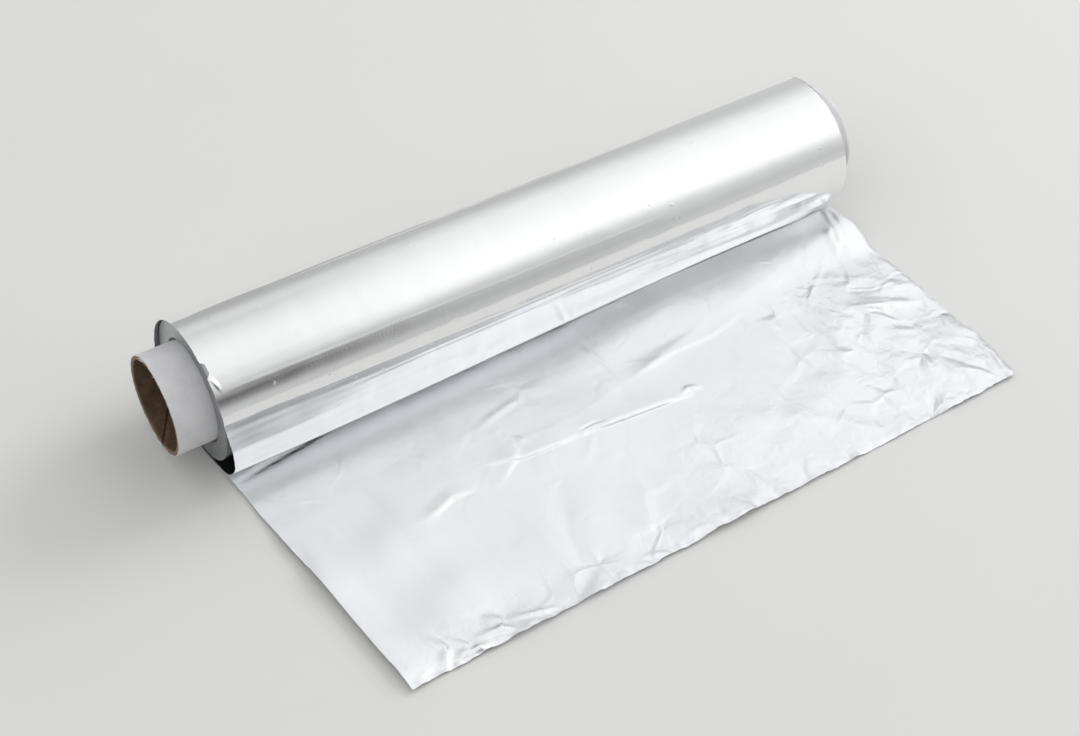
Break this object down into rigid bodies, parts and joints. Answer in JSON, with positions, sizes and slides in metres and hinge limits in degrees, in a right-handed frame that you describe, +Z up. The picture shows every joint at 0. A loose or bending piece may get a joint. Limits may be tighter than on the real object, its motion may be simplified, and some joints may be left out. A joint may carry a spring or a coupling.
{
  "type": "aluminium foil roll",
  "caption": "Roll of aluminium foil on a white-faced board core, its slack outer turn pulled out into a creased sheet that lies flat on the table.",
  "frame": {"origin": "on the table under the sheet, straight below the roll's axis, halfway along the foil", "axes": "+X along the roll to its far end, +Y away from the unrolled sheet, +Z up"},
  "size_m": [0.3338, 0.1733, 0.0599],
  "materials": {
    "kraft_board": "matt spiral-wound kraft board",
    "white_paper": "matt white paper",
    "foil": "bright rolled foil, satin on the inner side"
  },
  "bodies": {
    "root": {"core_tube": "kraft_board", "core_white_ply": "white_paper", "foil": "foil"}
  },
  "joints": []
}
